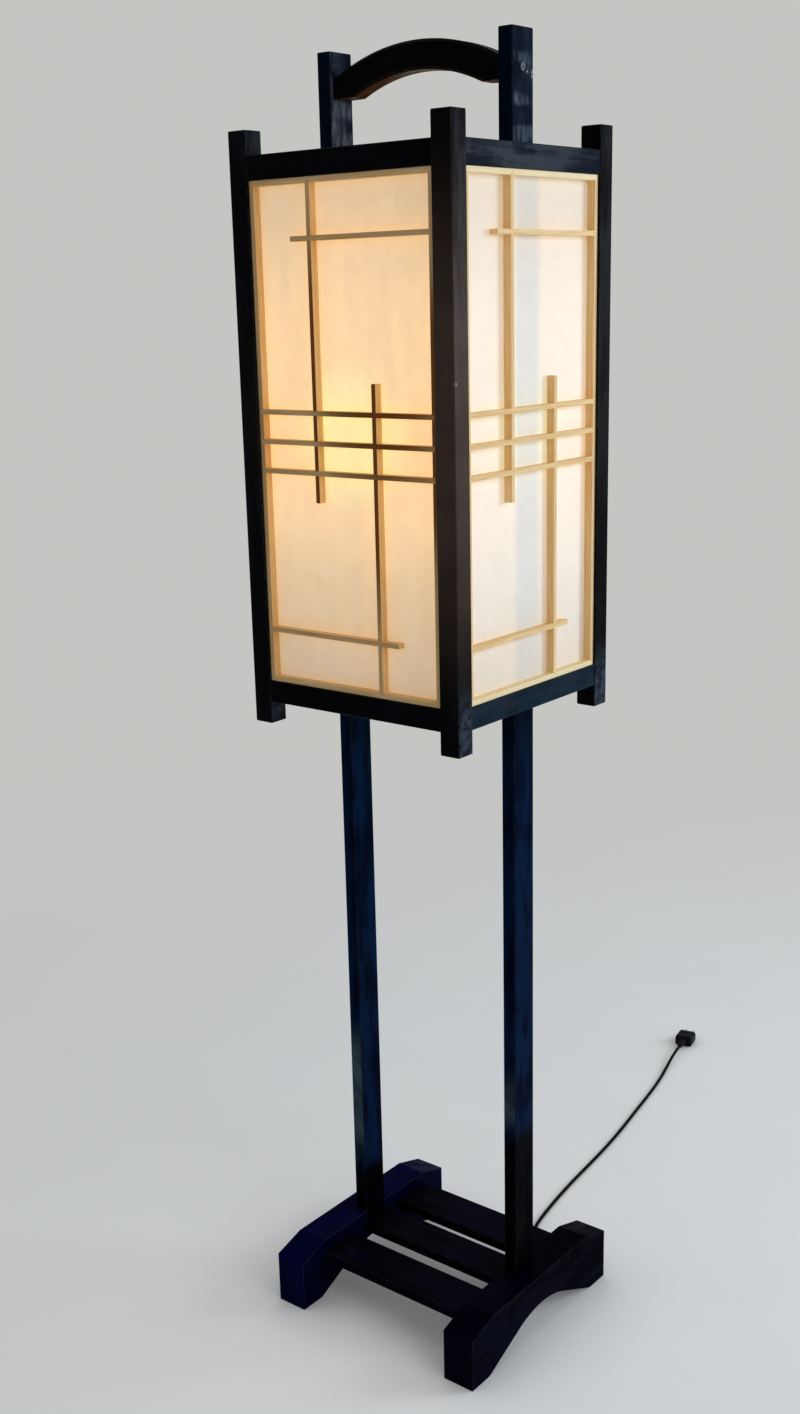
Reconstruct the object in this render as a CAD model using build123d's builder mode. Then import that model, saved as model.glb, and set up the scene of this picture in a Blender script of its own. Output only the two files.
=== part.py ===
from build123d import *
from math import cos, radians, sin, tan
import os

os.makedirs("parts", exist_ok=True)

# Andon floor lamp. Millimetres, X along the front, Y towards the rear, Z up from the floor.

# Overall
lantern_width = 305.0        # over the corner posts, the same both ways
lantern_height = 667.0       # full length of a corner post
lantern_base = 810.0         # underside of the corner posts
upright_rise = 89.5          # uprights past the corner posts

# Black timbers
arris = 1.0                  # chamfer on every black edge
post_side = 26.0
horn_length = 26.5           # a post's length past the rails
rail_height = 26.5
rail_thickness = 17.0
rail_setback = 1.0           # rail face behind the post face
tenon_length = 9.0
tenon_thickness = 8.0
tenon_shoulder = 4.0
upright_thickness = 18.5
upright_depth = 39.0
upright_seat = 50.0          # lower end of the uprights, inside the feet

# Base
foot_length = 306.0
foot_width = 45.0
foot_height = 83.0
foot_end_height = 69.5
foot_slope_length = 45.0     # falling stretch at each end of the foot's top
foot_pad = 36.0              # each end of the foot that meets the floor
arch_height = 42.0
arch_slope = 25.0            # degrees
pad_ease = 10.0
slat_inset = 43.0            # outer edge of an outer slat from the feet's ends
outer_slat_width = 59.5
middle_slat_width = 52.0
middle_slat_shift = 4.0      # towards the rear
slat_thickness = 14.0
slat_bottom = 53.0
slat_housing = 6.0           # how far an outer slat is let into each foot

# Handle
handle_depth = 26.0
handle_drop = 28.0           # top of the handle's ends below the uprights' tops
handle_end_height = 22.5
handle_rise = 28.5           # crown of the handle above the top of its ends
handle_grip_height = 20.0    # rise of the hand hole's arch
handle_land = 27.5           # level stretch at each end of the underside
handle_round = 3.0

# Screens
screen_recess = 3.0          # lattice face behind the post face
strip_depth = 10.0
frame_strip = 6.0
lattice_strip = 5.5
stub = 3.0                   # stub tenons of the thin strips
paper_thickness = 0.5
bar_spacing = 33.0           # between the three middle bars
end_bar_inset = 62.5         # outer bars from the lantern rails
bar_overrun = 27.0           # free end of an outer bar past the upright that it crosses
lattice_overrun = 33.0       # free end of a lattice upright past the middle bars

# Screws
screw_radius = 2.0
screw_head_radius = 4.0
screw_length = 30.0
screw_pitch = 18.0           # between the two screws of a pair
drive_slot = 0.9             # width of the cross in a screw head
drive_depth = 0.9
slat_screw_radius = 2.5
slat_screw_head_radius = 4.5
slat_screw_head_height = 3.0
slat_screw_length = 60.0
plug_radius = 5.0
plug_length = 6.0
screw_fit = 0.05

# Lamp bar and lampholder
lamp_bar_rise = 221.0        # top of the lamp bar above the corner posts' undersides
lamp_bar_thickness = 20.0
lamp_bar_width = 35.0
nipple_radius = 4.75
nipple_reach = 9.0           # past each face of the lamp bar
nut_radius = 8.0
nut_thickness = 4.0
holder_wall = 0.7
cap_radius = 17.0
cap_collar_height = 7.0
cap_height = 24.0
cap_rim_height = 7.0
shell_length = 44.0
shell_flare = 2.0            # outwards, over the height of the flare
flare_height = 4.0
insulator_length = 38.0
insulator_wall = 0.6
core_height = 20.0
contact_height = 1.0
screw_shell_radius = 13.4    # inside
screw_shell_wall = 0.4
screw_shell_length = 22.0
holder_gap = 0.3             # between the holder's nested sleeves
stem_radius = 3.0
stem_clearance = 0.05
stem_depth = 8.0             # into the holder's core
stem_margin = 1.5            # between the stem and the cap's rim
knob_radius = 6.5
knob_length = 12.0
knob_standoff = 3.0
knob_grip = 5.0              # thickness of the knob's flat grip
knob_edge = 0.5

# Bulb
bulb_radius = 30.0
bulb_length = 106.0
bulb_neck_radius = 12.6
bulb_wall = 0.8
bulb_shoulder_angle = 35.0   # where the globe turns into the neck, below its equator
cap_thread_radius = 13.0
cap_thread_depth = 0.8
cap_thread_pitch = 3.6
cap_thread_turns = 5
cap_tip_radius = 4.5
cap_tip_height = 2.0
cap_cone_height = 4.0
bulb_seat_gap = 0.2

# Lead and plug
lead_radius = 2.5
lead_fit = 0.05
exit_level = 140.0           # lowest clip, where the free lead begins
nipple_bore_gap = 0.4
lead_drop = 30.0             # straight below the nipple before the lead turns
lead_fall = 6.0              # over each run from there to the upright
clip_back = 1.5              # clip material between the lead and the upright
clip_wall = 1.9
clip_height = 8.0
clip_count = 5
top_clip_rise = 17.5         # top clip above the lantern's low rails
clip_inset = 2.0             # clips sit this far inwards of the upright's middle
plug_body_width = 30.0
plug_body_height = 19.0
plug_body_length = 28.0
plug_nose_length = 22.0
plug_nose_radius = 3.4
plug_edge = 2.5
blade_width = 6.3
blade_thickness = 1.5
blade_length = 16.0
blade_pitch = 12.7

# Places that follow from the sizes
half_lantern = lantern_width / 2
post_inner = half_lantern - post_side
rail_outer = half_lantern - rail_setback
rail_inner = rail_outer - rail_thickness
lantern_top = lantern_base + lantern_height
upright_top = lantern_top + upright_rise
handle_end_top = upright_top - handle_drop
handle_end_bottom = handle_end_top - handle_end_height
handle_apex = handle_end_top + handle_rise
lamp_bar_top = lantern_base + lamp_bar_rise
low_rail = (lantern_base + horn_length, lantern_base + horn_length + rail_height)
high_rail = (lantern_top - horn_length - rail_height, lantern_top - horn_length)
screen_face = half_lantern - screen_recess
screen_back = screen_face - strip_depth
upright_inner = rail_inner - upright_thickness
upright_middle = (upright_inner + rail_inner) / 2
foot_outer = upright_inner + foot_width
slat_level = (slat_bottom, slat_bottom + slat_thickness)
slat_middle = slat_bottom + slat_thickness / 2
half_foot = foot_length / 2
outer_edge = half_foot - slat_inset
inner_edge = outer_edge - outer_slat_width
slat_spans = {
    "front": (-outer_edge, -inner_edge),
    "middle": (middle_slat_shift - middle_slat_width / 2, middle_slat_shift + middle_slat_width / 2),
    "rear": (inner_edge, outer_edge),
}
slat_centres = [(low + high) / 2 for low, high in slat_spans.values()]
hands = {"left": -1, "right": 1}

# Each side of the lantern as a plane seen from outside: x across, y up, z outwards
world = Plane.XY
sides = {
    "front": Plane(origin=(0, 0, 0), x_dir=(1, 0, 0), z_dir=(0, -1, 0)),
    "right": Plane(origin=(0, 0, 0), x_dir=(0, 1, 0), z_dir=(1, 0, 0)),
    "rear": Plane(origin=(0, 0, 0), x_dir=(-1, 0, 0), z_dir=(0, 1, 0)),
    "left": Plane(origin=(0, 0, 0), x_dir=(0, -1, 0), z_dir=(-1, 0, 0)),
}


def span(near, far, hand):
    """The low and high X of a piece that lies between two distances on one hand."""
    return sorted((hand * near, hand * far))


def board(frame, across, up, out, mode=Mode.ADD):
    """A squared board between three pairs of limits in a frame's own directions."""
    limits = (across, up, out)
    middle = [(low + high) / 2 for low, high in limits]
    with Locations(frame.location * Location(middle)):
        Box(*[high - low for low, high in limits], mode=mode)


def finish(part, name):
    """Name a finished piece and write it."""
    part.part.label = name
    export_step(part.part, f"parts/{name}.step")


def screw_seat(hand, face, outwards, y, z):
    """The plane of a screw head on an upright's face, its normal pointing at the driver."""
    return Plane(origin=(hand * face, y, z), z_dir=(hand * outwards, 0, 0))


rail_middles = [sum(level) / 2 for level in (low_rail, high_rail)]
handle_end_middle = (handle_end_top + handle_end_bottom) / 2
lamp_bar_middle = lamp_bar_top - lamp_bar_thickness / 2
screw_rows = [-screw_pitch / 2, screw_pitch / 2]
rail_seats = {
    hand: [screw_seat(hand, upright_inner, -1, y, z) for z in rail_middles for y in screw_rows]
    for hand in hands.values()
}
handle_seats = {hand: [screw_seat(hand, rail_inner, 1, 0, handle_end_middle)] for hand in hands.values()}
bar_seats = {
    hand: [screw_seat(hand, rail_inner, 1, y, lamp_bar_middle) for y in screw_rows]
    for hand in hands.values()
}
slat_seats = {
    hand: [screw_seat(hand, foot_outer, 1, y, slat_middle) for y in slat_centres]
    for hand in hands.values()
}

# Feet: sloped ends, an arched underside, housings for the uprights and outer slats
foot_flat_end = half_foot - foot_slope_length
arch_start = half_foot - foot_pad
arch_peak = arch_start * tan(radians(arch_slope))
arch_radius = (arch_peak - arch_height) / (1 / cos(radians(arch_slope)) - 1)
for side, hand in hands.items():
    with BuildPart() as foot:
        with BuildSketch(Plane.YZ.offset(hand * upright_inner)) as foot_side:
            with BuildLine():
                Polyline(
                    (-half_foot, 0),
                    (-arch_start, 0),
                    (0, arch_peak),
                    (arch_start, 0),
                    (half_foot, 0),
                    (half_foot, foot_end_height),
                    (foot_flat_end, foot_height),
                    (-foot_flat_end, foot_height),
                    (-half_foot, foot_end_height),
                    close=True,
                )
            make_face()
            fillet(foot_side.vertices().sort_by_distance((0, arch_peak))[0], arch_radius)
            for start in (-arch_start, arch_start):
                fillet(foot_side.vertices().sort_by_distance((start, 0))[0], pad_ease)
        extrude(amount=hand * foot_width)
        chamfer(foot.faces().filter_by(Axis.X).edges(), arris)
        board(
            world,
            span(upright_inner - arris, rail_inner, hand),
            (-upright_depth / 2, upright_depth / 2),
            (upright_seat, foot_height + arris),
            Mode.SUBTRACT,
        )
        for name in ("front", "rear"):
            board(
                world,
                span(upright_inner - arris, upright_inner + slat_housing, hand),
                slat_spans[name],
                slat_level,
                Mode.SUBTRACT,
            )
        with Locations(*[seat.location for seat in slat_seats[hand]]):
            CounterBoreHole(
                slat_screw_radius + screw_fit,
                plug_radius + screw_fit,
                plug_length + slat_screw_head_height,
            )
    finish(foot, f"foot_{side}")

# Slats between the feet
for name, (near, far) in slat_spans.items():
    reach = upright_inner if name == "middle" else upright_inner + slat_housing
    with BuildPart() as slat:
        board(world, (-reach, reach), (near, far), slat_level)
        chamfer(slat.edges().filter_by(Axis.X), arris)
        for hand in hands.values():
            for seat in slat_seats[hand]:
                with Locations(seat.location):
                    Hole(
                        slat_screw_radius + screw_fit,
                        plug_length + slat_screw_head_height + slat_screw_length,
                    )
    finish(slat, f"slat_{name}")

with BuildPart() as slat_screws:
    for hand in hands.values():
        for seat in slat_seats[hand]:
            with Locations(seat.offset(-plug_length).location):
                Cylinder(
                    slat_screw_head_radius,
                    slat_screw_head_height,
                    align=(Align.CENTER, Align.CENTER, Align.MAX),
                )
                Cylinder(
                    slat_screw_radius,
                    slat_screw_head_height + slat_screw_length,
                    align=(Align.CENTER, Align.CENTER, Align.MAX),
                )
finish(slat_screws, "slat_screws")

with BuildPart() as screw_plugs:
    for hand in hands.values():
        with Locations(*[seat.location for seat in slat_seats[hand]]):
            Cylinder(plug_radius, plug_length, align=(Align.CENTER, Align.CENTER, Align.MAX))
finish(screw_plugs, "screw_plugs")

# Uprights, from the feet through the lantern to the handle
for side, hand in hands.items():
    with BuildPart() as upright:
        board(
            world,
            span(upright_inner, rail_inner, hand),
            (-upright_depth / 2, upright_depth / 2),
            (upright_seat, upright_top),
        )
        chamfer(upright.edges(), arris)
        for seat in rail_seats[hand] + handle_seats[hand] + bar_seats[hand]:
            with Locations(seat.location):
                CounterSinkHole(
                    screw_radius + screw_fit,
                    screw_head_radius + screw_fit,
                    upright_thickness,
                    counter_sink_angle=90,
                )
        for seat in slat_seats[hand]:
            with Locations(seat.location):
                Hole(slat_screw_radius + screw_fit, foot_width)
    finish(upright, f"upright_{side}")

with BuildPart() as upright_screws:
    for hand in hands.values():
        for seat in rail_seats[hand] + handle_seats[hand] + bar_seats[hand]:
            with Locations(seat.location):
                Cylinder(screw_radius, screw_length, align=(Align.CENTER, Align.CENTER, Align.MAX))
                Cone(
                    screw_radius,
                    screw_head_radius,
                    screw_head_radius - screw_radius,
                    align=(Align.CENTER, Align.CENTER, Align.MAX),
                )
                for turn in (0, 90):
                    Box(
                        screw_head_radius,
                        drive_slot,
                        drive_depth,
                        rotation=(0, 0, turn),
                        align=(Align.CENTER, Align.CENTER, Align.MAX),
                        mode=Mode.SUBTRACT,
                    )
finish(upright_screws, "upright_screws")

# Carrying handle, an arch between the uprights
with BuildPart() as handle:
    hole_end = upright_inner - handle_land
    with BuildSketch(Plane.XZ.offset(-handle_depth / 2)) as handle_front:
        with BuildLine():
            Line((-upright_inner, handle_end_bottom), (-hole_end, handle_end_bottom))
            ThreePointArc(
                (-hole_end, handle_end_bottom),
                (0, handle_end_bottom + handle_grip_height),
                (hole_end, handle_end_bottom),
            )
            Line((hole_end, handle_end_bottom), (upright_inner, handle_end_bottom))
            Line((upright_inner, handle_end_bottom), (upright_inner, handle_end_top))
            ThreePointArc(
                (upright_inner, handle_end_top),
                (0, handle_apex),
                (-upright_inner, handle_end_top),
            )
            Line((-upright_inner, handle_end_top), (-upright_inner, handle_end_bottom))
        make_face()
    extrude(amount=handle_depth)
    long_edges = handle.faces().filter_by(Axis.Y).edges()
    chamfer(long_edges.filter_by(GeomType.CIRCLE), handle_round)
    for hand in hands.values():
        for seat in handle_seats[hand]:
            with Locations(seat.location):
                Hole(screw_radius + screw_fit, screw_length)
finish(handle, "carry_handle")

# Corner posts, mortised for the rails
rail_axis = rail_outer - rail_thickness / 2
tenon_half = tenon_thickness / 2
for depth_name, depth_hand in (("front", -1), ("rear", 1)):
    for side, hand in hands.items():
        with BuildPart() as post:
            board(
                world,
                span(post_inner, half_lantern, hand),
                span(post_inner, half_lantern, depth_hand),
                (lantern_base, lantern_top),
            )
            chamfer(post.edges(), arris)
            for low, high in (low_rail, high_rail):
                tenon_level = (low + tenon_shoulder, high - tenon_shoulder)
                board(
                    world,
                    span(post_inner, post_inner + tenon_length, hand),
                    span(rail_axis - tenon_half, rail_axis + tenon_half, depth_hand),
                    tenon_level,
                    Mode.SUBTRACT,
                )
                board(
                    world,
                    span(rail_axis - tenon_half, rail_axis + tenon_half, hand),
                    span(post_inner, post_inner + tenon_length, depth_hand),
                    tenon_level,
                    Mode.SUBTRACT,
                )
        finish(post, f"post_{depth_name}_{side}")

# Rails, tenoned into the posts; the side rails take the uprights' screws
for level_name, (low, high) in {"bottom": low_rail, "top": high_rail}.items():
    for side, frame in sides.items():
        along = Axis.X if side in ("front", "rear") else Axis.Y
        with BuildPart() as rail:
            board(frame, (-post_inner, post_inner), (low, high), (rail_inner, rail_outer))
            chamfer(rail.edges().filter_by(along), arris)
            board(
                frame,
                (-post_inner - tenon_length, post_inner + tenon_length),
                (low + tenon_shoulder, high - tenon_shoulder),
                (rail_axis - tenon_half, rail_axis + tenon_half),
            )
            if side in hands:
                for seat in rail_seats[hands[side]]:
                    with Locations(seat.location):
                        Hole(screw_radius + screw_fit, screw_length)
        finish(rail, f"rail_{level_name}_{side}")

# Screens: a thin frame, half-lapped lattice and the paper behind it
screen_low = low_rail[1]
screen_high = high_rail[0]
screen_middle = (screen_low + screen_high) / 2
strip_out = (screen_back, screen_face)
front_lap = (screen_back + strip_depth / 2, screen_face)
rear_lap = (screen_back, screen_back + strip_depth / 2)
frame_inner = post_inner - frame_strip
lattice_half = lattice_strip / 2
upright_place = post_inner / 3
middle_bars = [screen_middle + step * bar_spacing for step in (-1, 0, 1)]
low_bar = screen_low + end_bar_inset
high_bar = screen_high - end_bar_inset
lattice_uprights = {
    -upright_place: (middle_bars[0] - lattice_overrun, screen_high - frame_strip + stub),
    upright_place: (screen_low + frame_strip - stub, middle_bars[2] + lattice_overrun),
}
bar_end = frame_inner + stub
lattice_bars = {height: (-bar_end, bar_end) for height in middle_bars}
lattice_bars[high_bar] = (-upright_place - bar_overrun, bar_end)
lattice_bars[low_bar] = (-bar_end, upright_place + bar_overrun)
crossings = [
    (place, height)
    for place, (low, high) in lattice_uprights.items()
    for height, (start, end) in lattice_bars.items()
    if low < height < high and start < place < end
]


def strip_across(centre):
    """The limits of one lattice strip about its centre line."""
    return (centre - lattice_half, centre + lattice_half)


for side, frame in sides.items():
    with BuildPart() as stiles:
        for hand in hands.values():
            board(frame, span(frame_inner, post_inner, hand), (screen_low, screen_high), strip_out)
            board(
                frame,
                span(frame_inner, frame_inner + stub, hand),
                (screen_low, screen_low + frame_strip),
                front_lap,
                Mode.SUBTRACT,
            )
            board(
                frame,
                span(frame_inner, frame_inner + stub, hand),
                (screen_high - frame_strip, screen_high),
                front_lap,
                Mode.SUBTRACT,
            )
        for height, (start, end) in lattice_bars.items():
            board(frame, (start, end), strip_across(height), strip_out, Mode.SUBTRACT)
    finish(stiles, f"screen_{side}_stiles")

    with BuildPart() as frame_rails:
        for low in (screen_low, screen_high - frame_strip):
            board(frame, (-frame_inner, frame_inner), (low, low + frame_strip), strip_out)
            board(frame, (-bar_end, bar_end), (low, low + frame_strip), front_lap)
        for place, (low, high) in lattice_uprights.items():
            board(frame, strip_across(place), (low, high), strip_out, Mode.SUBTRACT)
    finish(frame_rails, f"screen_{side}_rails")

    with BuildPart() as uprights:
        for place, (low, high) in lattice_uprights.items():
            board(frame, strip_across(place), (low, high), strip_out)
        for place, height in crossings:
            board(frame, strip_across(place), strip_across(height), front_lap, Mode.SUBTRACT)
    finish(uprights, f"screen_{side}_uprights")

    with BuildPart() as bars:
        for height, (start, end) in lattice_bars.items():
            board(frame, (start, end), strip_across(height), strip_out)
        for place, height in crossings:
            board(frame, strip_across(place), strip_across(height), rear_lap, Mode.SUBTRACT)
    finish(bars, f"screen_{side}_bars")

    with BuildPart() as paper:
        board(
            frame,
            (-post_inner, post_inner),
            (screen_low, screen_high),
            (screen_back - paper_thickness, screen_back),
        )
    finish(paper, f"screen_{side}_paper")

# Lamp bar between the uprights
with BuildPart() as lamp_bar:
    board(
        world,
        (-upright_inner, upright_inner),
        (-lamp_bar_width / 2, lamp_bar_width / 2),
        (lamp_bar_top - lamp_bar_thickness, lamp_bar_top),
    )
    chamfer(lamp_bar.edges().filter_by(Axis.X), arris)
    with Locations((0, 0, lamp_bar_top)):
        Hole(nipple_radius + screw_fit, lamp_bar_thickness)
    for hand in hands.values():
        for seat in bar_seats[hand]:
            with Locations(seat.location):
                Hole(screw_radius + screw_fit, screw_length)
finish(lamp_bar, "lamp_bar")

# Threaded nipple and its nuts
nipple_low = lamp_bar_top - lamp_bar_thickness - nipple_reach
nipple_high = lamp_bar_top + nipple_reach
nipple_bore = lead_radius + nipple_bore_gap
with BuildPart() as nipple:
    with Locations((0, 0, (nipple_low + nipple_high) / 2)):
        Cylinder(nipple_radius, nipple_high - nipple_low)
        Cylinder(nipple_bore, nipple_high - nipple_low, mode=Mode.SUBTRACT)
finish(nipple, "nipple")

with BuildPart() as nipple_nuts:
    for level in (lamp_bar_top, lamp_bar_top - lamp_bar_thickness - nut_thickness):
        with BuildSketch(Plane.XY.offset(level)):
            RegularPolygon(nut_radius, 6)
            Circle(nipple_radius + screw_fit, mode=Mode.SUBTRACT)
        extrude(amount=nut_thickness)
finish(nipple_nuts, "nipple_nuts")

# Lampholder, as nested turned pieces on the nipple
cap_low = lamp_bar_top + nut_thickness
cap_high = cap_low + cap_height
collar_top = cap_low + cap_collar_height
cap_shoulder = cap_high - cap_rim_height
shell_radius = cap_radius - holder_wall - holder_gap
shell_low = cap_shoulder + holder_wall
shell_high = shell_low + shell_length
insulator_radius = shell_radius - holder_wall - holder_gap
core_radius = insulator_radius - insulator_wall - holder_gap
core_top = shell_low + core_height
stem_level = cap_high + stem_margin + stem_radius
screw_shell_outer = screw_shell_radius + screw_shell_wall
with BuildPart() as holder_cap:
    with BuildSketch(Plane.XZ):
        with BuildLine():
            Polyline(
                (nipple_radius + screw_fit, collar_top),
                (nipple_radius + screw_fit, cap_low),
                (nut_radius, cap_low),
                (nut_radius, collar_top),
                (cap_radius, cap_shoulder),
                (cap_radius, cap_high),
                (cap_radius - holder_wall, cap_high),
                (cap_radius - holder_wall, cap_shoulder + holder_wall / 2),
                (nut_radius - holder_wall, collar_top),
                close=True,
            )
        make_face()
    revolve(axis=Axis.Z)
finish(holder_cap, "holder_cap")

stem_plane = Plane(origin=(0, 0, stem_level), z_dir=(0, -1, 0))
core_grip = core_radius - stem_depth
with BuildPart() as holder_shell:
    with BuildSketch(Plane.XZ):
        with BuildLine():
            Polyline(
                (shell_radius - holder_wall, shell_low),
                (shell_radius, shell_low),
                (shell_radius, shell_high - flare_height),
                (shell_radius + shell_flare, shell_high),
                (shell_radius + shell_flare - holder_wall, shell_high),
                (shell_radius - holder_wall, shell_high - flare_height + holder_wall / 2),
                close=True,
            )
        make_face()
    revolve(axis=Axis.Z)
    with Locations(stem_plane.offset(cap_radius).location):
        Hole(stem_radius + stem_clearance, cap_radius)
finish(holder_shell, "holder_shell")

with BuildPart() as holder_insulator:
    with BuildSketch(Plane.XY.offset(shell_low)):
        Circle(insulator_radius)
        Circle(insulator_radius - insulator_wall, mode=Mode.SUBTRACT)
    extrude(amount=insulator_length)
    with Locations(stem_plane.offset(cap_radius).location):
        Hole(stem_radius + stem_clearance, cap_radius)
finish(holder_insulator, "holder_insulator")

with BuildPart() as holder_core:
    with BuildSketch(Plane.XY.offset(shell_low)):
        Circle(core_radius)
    extrude(amount=core_height)
    with BuildSketch(Plane.XY.offset(core_top)):
        Circle(cap_tip_radius)
    extrude(amount=contact_height)
    with Locations(stem_plane.offset(cap_radius).location):
        Hole(stem_radius + stem_clearance, cap_radius - core_grip)
finish(holder_core, "holder_core")

with BuildPart() as screw_shell:
    with BuildSketch(Plane.XY.offset(core_top)):
        Circle(screw_shell_outer)
        Circle(screw_shell_radius, mode=Mode.SUBTRACT)
    extrude(amount=screw_shell_length)
finish(screw_shell, "screw_shell")

# Switch knob: a stem into the core and a flat-sided grip outside
with BuildPart() as switch_knob:
    with BuildSketch(stem_plane.offset(core_grip)):
        Circle(stem_radius)
    extrude(amount=cap_radius + knob_standoff - core_grip)
    with BuildSketch(stem_plane.offset(cap_radius + knob_standoff)) as knob_face:
        Circle(knob_radius)
        Rectangle(2 * knob_radius, knob_grip, mode=Mode.INTERSECT)
    extrude(amount=knob_length)
    chamfer(switch_knob.faces().sort_by(Axis.Y)[0].edges(), knob_edge)
finish(switch_knob, "switch_knob")

# Bulb: the cap that screws into the shell, and the frosted globe
bulb_tip = core_top + contact_height + bulb_seat_gap
cap_bottom = bulb_tip + cap_tip_height + cap_cone_height
cap_top = cap_bottom + cap_thread_turns * cap_thread_pitch
thread_line = []
for turn in range(cap_thread_turns):
    thread_start = cap_bottom + turn * cap_thread_pitch
    thread_line.append((cap_thread_radius - cap_thread_depth, thread_start))
    thread_line.append((cap_thread_radius, thread_start + cap_thread_pitch / 2))
thread_line.append((cap_thread_radius - cap_thread_depth, cap_top))
with BuildPart() as bulb_cap:
    with BuildSketch(Plane.XZ):
        with BuildLine():
            Polyline(
                (0, bulb_tip),
                (cap_tip_radius, bulb_tip),
                (cap_tip_radius, bulb_tip + cap_tip_height),
                *thread_line,
                (0, cap_top),
                close=True,
            )
        make_face()
    revolve(axis=Axis.Z)
finish(bulb_cap, "bulb_cap")

globe_top = bulb_tip + bulb_length
globe_centre = globe_top - bulb_radius
shoulder_angle = radians(bulb_shoulder_angle)
with BuildPart() as bulb_glass:
    for inset, mode in ((0, Mode.ADD), (bulb_wall, Mode.SUBTRACT)):
        radius = bulb_radius - inset
        neck = bulb_neck_radius - inset
        shoulder = (radius * cos(shoulder_angle), globe_centre - radius * sin(shoulder_angle))
        with BuildSketch(Plane.XZ):
            with BuildLine():
                Line((0, globe_centre + radius), (0, cap_top + inset))
                Line((0, cap_top + inset), (neck, cap_top + inset))
                Spline(
                    (neck, cap_top + inset),
                    shoulder,
                    tangents=((0, 1), (sin(shoulder_angle), cos(shoulder_angle))),
                )
                ThreePointArc(
                    shoulder,
                    (radius, globe_centre),
                    (0, globe_centre + radius),
                )
            make_face()
        revolve(axis=Axis.Z, mode=mode)
finish(bulb_glass, "bulb_glass")

# Lead: inside the holder, under the lamp bar, then down the rear of the right upright
lead_x = upright_middle - clip_inset
lead_y = upright_depth / 2 + clip_back + lead_radius
lead_turn = nipple_low - lead_drop
fixed_route = [
    (0, 0, shell_low),
    (0, 0, lead_turn),
    (60, 15, lead_turn - lead_fall),
    (lead_x, lead_y, lead_turn - 2 * lead_fall),
    (lead_x, lead_y, exit_level),
]
free_route = [
    (lead_x, lead_y, exit_level),
    (lead_x, lead_y, 100),
    (104, 52, 78),
    (86, 80, 70.5),
    (66, 108, 77.5),
    (52, 126, 62),
    (44, 138, 32),
    (36, 152, 9),
    (26, 180, 2.7),
    (17, 208, 2.6),
    (7, 262, 2.6),
    (-1.5, 322, 2.6),
    (-8, 385, 2.6),
    (-15, 448, 2.6),
    (-24.5, 510, 2.6),
    (-36, 571, 2.6),
    (-47, 633, 2.6),
    (-59.5, 694, 2.6),
    (-73, 744, 4.2),
    (-81, 780, 9.5),
    (-87.5, 812, 9.5),
]


def corner_radii(route):
    """The arc at each corner: 0.45 of the shorter run over the tangent of half the turn."""
    points = [Vector(*point) for point in route]
    runs = [end - start for start, end in zip(points, points[1:])]
    return [
        0.45 * min(before.length, after.length) / tan(radians(before.get_angle(after) / 2))
        for before, after in zip(runs, runs[1:])
    ]


for name, route in {"lead_fixed": fixed_route, "lead_free": free_route}.items():
    radii = corner_radii(route)
    with BuildPart() as lead:
        with BuildLine() as lead_line:
            FilletPolyline(*route, radius=radii)
        start_plane = Plane(origin=route[0], z_dir=lead_line.line % 0)
        with BuildSketch(start_plane):
            Circle(lead_radius)
        sweep()
    finish(lead, name)
    lead_length = sum(edge.length for edge in lead_line.edges())
    print(name, "radii", [round(radius, 1) for radius in radii], "length", round(lead_length, 1))

# Clips that hold the lead against the upright
clip_side = lead_radius + clip_wall
top_clip_level = low_rail[1] + top_clip_rise
clip_step = (top_clip_level - exit_level) / (clip_count - 1)
with BuildPart() as lead_clips:
    for index in range(clip_count):
        clip_low = exit_level + index * clip_step
        board(
            world,
            (lead_x - clip_side, lead_x + clip_side),
            (upright_depth / 2, lead_y + clip_side),
            (clip_low, clip_low + clip_height),
        )
    chamfer(lead_clips.edges().filter_by(Axis.Z).group_by(Axis.Y)[-1], clip_wall / 2)
    with Locations((lead_x, lead_y, top_clip_level + clip_height)):
        Hole(lead_radius + lead_fit, top_clip_level + clip_height - exit_level)
finish(lead_clips, "lead_clips")

# Plug at the lead's end
plug_start = Vector(*free_route[-1])
lead_heading = plug_start - Vector(*free_route[-2])
heading = Vector(lead_heading.X, lead_heading.Y, 0).normalized()
plug_plane = Plane(origin=plug_start, x_dir=heading.cross(Vector(0, 0, 1)), z_dir=heading)
with BuildPart() as plug_body:
    with BuildSketch(plug_plane):
        Circle(plug_nose_radius)
    with BuildSketch(plug_plane.offset(plug_nose_length)):
        RectangleRounded(plug_body_width - 2 * plug_edge, plug_body_height - plug_edge, plug_edge)
    loft()
    with BuildSketch(plug_plane.offset(plug_nose_length)):
        RectangleRounded(plug_body_width, plug_body_height, plug_edge)
    extrude(amount=plug_body_length)
finish(plug_body, "plug_body")

plug_face = plug_plane.offset(plug_nose_length + plug_body_length)
with BuildPart() as plug_blades:
    with BuildSketch(plug_face):
        with GridLocations(blade_pitch, blade_pitch, 2, 1):
            Rectangle(blade_thickness, blade_width)
    extrude(amount=blade_length)
finish(plug_blades, "plug_blades")
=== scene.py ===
import math

import bmesh
import bpy
from mathutils import Matrix, Vector


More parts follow.
